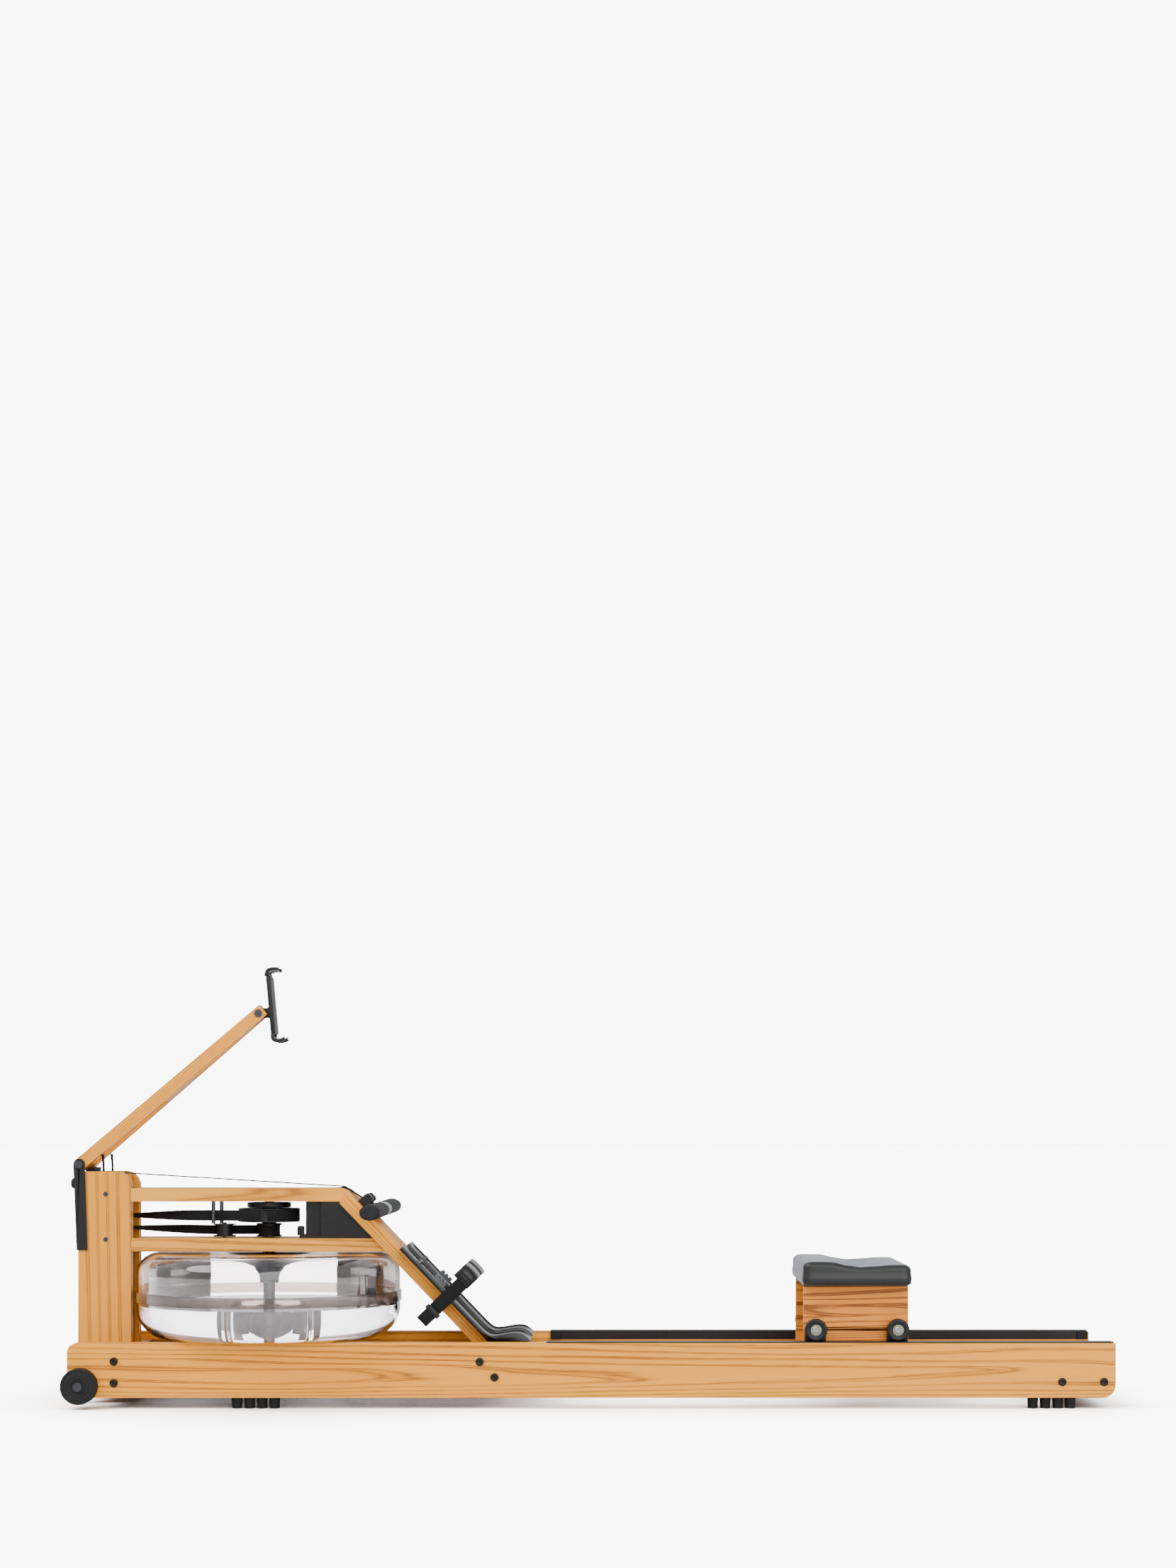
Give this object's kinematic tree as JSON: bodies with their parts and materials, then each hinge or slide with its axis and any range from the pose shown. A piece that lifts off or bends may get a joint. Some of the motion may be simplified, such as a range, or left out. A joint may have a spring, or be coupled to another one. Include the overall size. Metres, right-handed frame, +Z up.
{
  "type": "water rowing machine",
  "caption": "Wooden rowing machine with a clear water tank, sliding seat, strap-driven handle, adjustable foot plates and a tablet arm.",
  "frame": {"origin": "on the floor, under the middle of the machine's length and width", "axes": "+X from the water tank toward the seat end, +Y to the rower's left, +Z up"},
  "size_m": [2.115, 0.542, 0.8908],
  "materials": {
    "ash": "satin",
    "ash_dark": "satin",
    "clear_shell": "gloss",
    "tank_band": "satin",
    "water": "gloss",
    "black_plastic": "satin",
    "grey_plastic": "satin",
    "paddle_metal": "satin",
    "steel": "satin",
    "black_metal": "satin",
    "webbing": "matte",
    "foam": "matte",
    "sleeve": "matte",
    "rubber": "matte",
    "urethane": "satin",
    "track_plastic": "satin",
    "cushion": "satin"
  },
  "bodies": {
    "frame": {"rail_left": "ash", "rail_right": "ash", "front_spacers": "ash", "rear_spacers": "ash", "upright_left": "ash_dark", "upright_right": "ash_dark", "top_deck": "ash_dark", "lower_deck": "ash_dark", "footboard": "ash_dark", "control_housing": "black_plastic", "speed_sensor": "black_plastic", "tracks": "track_plastic", "track_stops": "rubber", "rail_bolts": "steel", "rubber_feet": "rubber", "tank_lower_shell": "clear_shell", "tank_upper_shell": "clear_shell", "tank_ring": "tank_band", "tank_water": "water", "shaft_bearings": "black_plastic", "fixed_axles": "steel", "guide_posts": "steel", "handle_rests": "black_plastic", "arm_bracket": "black_metal", "hinge_pin": "steel", "stop_bumper": "rubber", "stay_cords": "webbing", "drive_strap": "webbing", "recoil_strap": "webbing", "adjusting_pegs": "black_plastic", "foot_straps": "webbing"},
    "wheel_left": {"transport_wheel_left": "rubber"},
    "wheel_right": {"transport_wheel_right": "rubber"},
    "spool": {"drive_spool": "black_plastic"},
    "front_pulley": {"front_pulley": "black_plastic"},
    "recoil_pulley": {"recoil_pulley": "black_plastic"},
    "corner_roller": {"corner_roller": "black_plastic"},
    "guide_roller": {"guide_roller": "black_plastic"},
    "paddle": {"drive_shaft": "steel", "paddle": "paddle_metal"},
    "handle": {"handle_core": "sleeve", "handle_grips": "foam", "strap_tail": "webbing"},
    "knob": {"clamp_knob": "black_plastic"},
    "arm": {"arm_beam": "ash_dark", "tilt_bolt": "steel"},
    "holder_mount": {"holder_mount": "black_metal"},
    "holder_bar": {"holder_bar": "black_metal"},
    "upper_jaw": {"upper_jaw": "black_metal"},
    "heel_rest_left": {"heel_rest_left": "black_plastic", "toe_ribs_left": "grey_plastic"},
    "heel_rest_right": {"heel_rest_right": "black_plastic", "toe_ribs_right": "grey_plastic"},
    "seat": {"seat_sides": "ash_dark", "seat_plate": "black_metal", "seat_cushion": "cushion", "seat_axles": "steel", "seat_guards": "urethane"},
    "seat_wheels_front": {"seat_wheels_front": "urethane"},
    "seat_wheels_rear": {"seat_wheels_rear": "urethane"}
  },
  "joints": [
    {"name": "seat_slide", "type": "slide", "parent": "frame", "child": "seat", "axis": [1, 0, 0], "range_m": [-0.48, 0.375]},
    {"name": "seat_wheels_front_spin", "type": "hinge", "parent": "seat", "child": "seat_wheels_front", "pos_m": [0.453, 0, 0.1559], "axis": [0, 1, 0], "continuous": true},
    {"name": "seat_wheels_rear_spin", "type": "hinge", "parent": "seat", "child": "seat_wheels_rear", "pos_m": [0.617, 0, 0.1559], "axis": [0, 1, 0], "continuous": true},
    {"name": "handle_pull", "type": "slide", "parent": "frame", "child": "handle", "axis": [0.9903, 0, 0.1392], "range_m": [0, 1.15], "stiffness_N_per_m": 15, "springref_m": -1, "deforming": ["strap_tail"]},
    {"name": "spool_spin", "type": "hinge", "parent": "frame", "child": "spool", "pos_m": [-0.66, 0, 0.372], "axis": [0, 0, 1], "continuous": true},
    {"name": "front_pulley_spin", "type": "hinge", "parent": "frame", "child": "front_pulley", "pos_m": [-0.985, 0, 0.425], "axis": [0, 1, 0], "continuous": true},
    {"name": "corner_roller_spin", "type": "hinge", "parent": "frame", "child": "corner_roller", "pos_m": [-0.509, 0, 0.4278], "axis": [0, 1, 0], "continuous": true},
    {"name": "recoil_pulley_spin", "type": "hinge", "parent": "frame", "child": "recoil_pulley", "pos_m": [-0.985, 0, 0.333], "axis": [0, 1, 0], "continuous": true},
    {"name": "guide_roller_spin", "type": "hinge", "parent": "frame", "child": "guide_roller", "pos_m": [-0.751, -0.0036, 0.35], "axis": [0, 0, 1], "continuous": true},
    {"name": "paddle_spin", "type": "hinge", "parent": "frame", "child": "paddle", "pos_m": [-0.66, 0, 0.2], "axis": [0, 0, 1], "continuous": true},
    {"name": "transport_wheel_left_spin", "type": "hinge", "parent": "frame", "child": "wheel_left", "pos_m": [-1.0136, 0.177, 0.046], "axis": [0, 1, 0], "continuous": true},
    {"name": "transport_wheel_right_spin", "type": "hinge", "parent": "frame", "child": "wheel_right", "pos_m": [-1.0136, -0.177, 0.046], "axis": [0, 1, 0], "continuous": true},
    {"name": "knob_turn", "type": "hinge", "parent": "frame", "child": "knob", "pos_m": [-1.06, 0, 0.446], "axis": [1, 0, 0], "continuous": true},
    {"name": "arm_hinge", "type": "hinge", "parent": "frame", "child": "arm", "pos_m": [-1.039, 0, 0.4855], "axis": [0, -1, 0], "range_deg": [0, 50], "deforming": ["stay_cords"]},
    {"name": "holder_tilt", "type": "hinge", "parent": "arm", "child": "holder_mount", "pos_m": [-0.67964, 0, 0.79459], "axis": [0, -1, 0], "range_deg": [-30, 30]},
    {"name": "holder_spin", "type": "hinge", "parent": "holder_mount", "child": "holder_bar", "pos_m": [-0.67964, 0, 0.79459], "axis": [0.9961, 0, 0.088], "range_deg": [-90, 90]},
    {"name": "jaw_slide", "type": "slide", "parent": "holder_bar", "child": "upper_jaw", "axis": [-0.088, 0, 0.9961], "range_m": [0, 0.045], "stiffness_N_per_m": 120, "springref_m": -0.02},
    {"name": "heel_rest_left_slide", "type": "slide", "parent": "frame", "child": "heel_rest_left", "axis": [-0.6913, 0, 0.7226], "range_m": [0, 0.035]},
    {"name": "heel_rest_right_slide", "type": "slide", "parent": "frame", "child": "heel_rest_right", "axis": [-0.6913, 0, 0.7226], "range_m": [0, 0.035]}
  ],
  "couplings": [
    {"joint": "seat_wheels_front_spin", "follows": "seat_slide", "rad_per_m": 44.643},
    {"joint": "seat_wheels_rear_spin", "follows": "seat_slide", "rad_per_m": 44.643},
    {"joint": "spool_spin", "follows": "handle_pull", "rad_per_m": -16.529},
    {"joint": "front_pulley_spin", "follows": "handle_pull", "rad_per_m": 23.256},
    {"joint": "corner_roller_spin", "follows": "handle_pull", "rad_per_m": 90.909},
    {"joint": "recoil_pulley_spin", "follows": "handle_pull", "rad_per_m": -15.026},
    {"joint": "guide_roller_spin", "follows": "handle_pull", "rad_per_m": 20.035}
  ]
}
